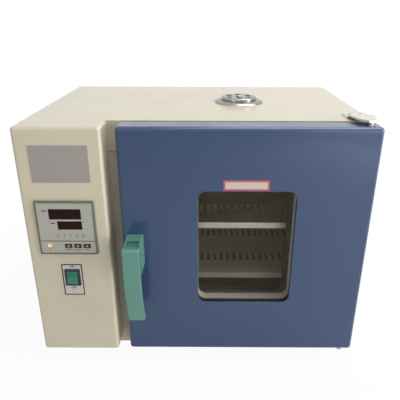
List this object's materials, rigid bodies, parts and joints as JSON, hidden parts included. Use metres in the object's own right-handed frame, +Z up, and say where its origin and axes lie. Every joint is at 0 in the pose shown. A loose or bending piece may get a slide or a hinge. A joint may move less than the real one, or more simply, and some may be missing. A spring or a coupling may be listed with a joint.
{
  "type": "laboratory drying oven",
  "caption": "Benchtop laboratory drying oven: cream casing, control box at the left, blue side-hinged door with window and lever handle, slotted shelves, fan, heater and roof vent.",
  "frame": {"origin": "middle of the oven's overall footprint, on the bench under the feet", "axes": "+X to the right seen from the front, +Y to the back, +Z up"},
  "size_m": [0.563, 0.459, 0.4608],
  "materials": {
    "cream_enamel": "baked enamel, light texture, semi-gloss",
    "blue_enamel": "baked enamel, light texture, semi-gloss",
    "stainless_sheet": "rolled stainless, satin",
    "zinc_plate": "zinc-plated steel",
    "steel_hardware": "plated screws and pins",
    "chrome": "polished chrome",
    "brass": "turned brass",
    "cast_motor": "cast housing, matt",
    "heater_tube": "heat-tinted steel tube",
    "teal_plastic": "moulded, satin",
    "black_plastic": "moulded, matt",
    "grey_plastic": "moulded frame, matt",
    "face_plastic": "printed front film, satin",
    "display_window": "smoked red window, glossy",
    "lamp_lens": "amber lens, glossy",
    "button_rubber": "soft keys, matt",
    "green_rocker": "moulded, glossy",
    "white_plate": "printed plate, satin",
    "lilac_plate": "blank label film, matt",
    "notice_film": "blank label film with a red border, matt",
    "window_glass": "clear toughened glass",
    "black_silicone": "silicone seal, matt",
    "gasket_silicone": "silicone sponge gasket, matt",
    "foot_rubber": "moulded rubber, matt",
    "mineral_wool": "mineral wool blanket",
    "circuit_board": "resist-coated board"
  },
  "bodies": {
    "oven": {"outer_casing": "cream_enamel", "control_cover": "cream_enamel", "front_header": "cream_enamel", "front_frame": "cream_enamel", "back_panel": "cream_enamel", "base_panel": "cream_enamel", "compartment_divider": "zinc_plate", "rubber_feet": "foot_rubber", "inner_chamber": "stainless_sheet", "insulation": "mineral_wool", "duct_baffle": "stainless_sheet", "heater_element": "heater_tube", "temperature_probe": "stainless_sheet", "fan_motor": "cast_motor", "pan_head_screws": "steel_hardware", "shelf_runners": "stainless_sheet", "vent_tube": "stainless_sheet", "vent_flange": "chrome", "vent_rivet": "chrome", "hinge_plate_top": "zinc_plate", "hinge_bracket_bottom": "zinc_plate", "hinge_pins": "steel_hardware", "hinge_washer": "brass", "roller_catch": "steel_hardware", "controller_bezel": "grey_plastic", "controller_face": "face_plastic", "controller_displays": "display_window", "controller_lamps": "lamp_lens", "controller_case": "black_plastic", "controller_board": "circuit_board", "label_plate": "lilac_plate", "switch_plate": "white_plate", "switch_housing": "black_plastic", "relay": "black_plastic", "terminal_block": "black_plastic", "cable_gland": "black_plastic"},
    "door": {"door_skin": "blue_enamel", "door_inner_panel": "stainless_sheet", "door_insulation": "mineral_wool", "outer_glass": "window_glass", "inner_glass": "window_glass", "window_seals": "black_silicone", "window_spacer": "stainless_sheet", "door_gasket": "gasket_silicone", "door_label": "notice_film", "handle_base": "teal_plastic", "lever_pin": "steel_hardware", "catch_tongue": "zinc_plate", "hinge_bushes": "brass"},
    "handle_lever_body": {"handle_lever": "teal_plastic"},
    "release_pin_body": {"release_pin": "steel_hardware"},
    "vent_shutter_body": {"vent_shutter": "chrome"},
    "fan": {"fan_shaft": "steel_hardware", "fan_impeller": "stainless_sheet"},
    "rocker": {"switch_rocker": "green_rocker"},
    "set_key": {"set_button": "button_rubber"},
    "shift_key": {"shift_button": "button_rubber"},
    "up_key": {"up_button": "button_rubber"},
    "upper_shelf": {"shelf_upper": "stainless_sheet"},
    "lower_shelf": {"shelf_lower": "stainless_sheet"}
  },
  "joints": [
    {"name": "door_swing", "type": "hinge", "parent": "oven", "child": "door", "pos_m": [0.2655, -0.1575, 0.24], "axis": [0, 0, 1], "range_deg": [0, 150]},
    {"name": "lever_pull", "type": "hinge", "parent": "door", "child": "handle_lever_body", "pos_m": [-0.104, -0.1945, 0.2455], "axis": [-1, 0, 0], "range_deg": [0, 18], "stiffness_Nm_per_rad": 0.5, "springref_deg": -8.59},
    {"name": "release_push", "type": "slide", "parent": "door", "child": "release_pin_body", "axis": [0, 1, 0], "range_m": [0, 0.0044]},
    {"name": "vent_turn", "type": "hinge", "parent": "oven", "child": "vent_shutter_body", "pos_m": [0.0745, 0.0295, 0.457], "axis": [0, 0, 1], "continuous": true},
    {"name": "fan_spin", "type": "hinge", "parent": "oven", "child": "fan", "pos_m": [-0.0885, 0.0187, 0.2395], "axis": [1, 0, 0], "continuous": true},
    {"name": "power_rocker", "type": "hinge", "parent": "oven", "child": "rocker", "pos_m": [-0.214, -0.1785, 0.1875], "axis": [1, 0, 0], "range_deg": [0, 20]},
    {"name": "set_press", "type": "slide", "parent": "oven", "child": "set_key", "axis": [0, 1, 0], "range_m": [0, 0.0006], "stiffness_N_per_m": 400},
    {"name": "shift_press", "type": "slide", "parent": "oven", "child": "shift_key", "axis": [0, 1, 0], "range_m": [0, 0.0006], "stiffness_N_per_m": 400},
    {"name": "up_press", "type": "slide", "parent": "oven", "child": "up_key", "axis": [0, 1, 0], "range_m": [0, 0.0006], "stiffness_N_per_m": 400},
    {"name": "upper_shelf_slide", "type": "slide", "parent": "oven", "child": "upper_shelf", "axis": [0, -1, 0], "range_m": [-0.01, 0.028]},
    {"name": "lower_shelf_slide", "type": "slide", "parent": "oven", "child": "lower_shelf", "axis": [0, -1, 0], "range_m": [-0.01, 0.028]}
  ],
  "couplings": [
    {"joint": "release_push", "follows": "lever_pull", "m_per_rad": 0.01377}
  ]
}
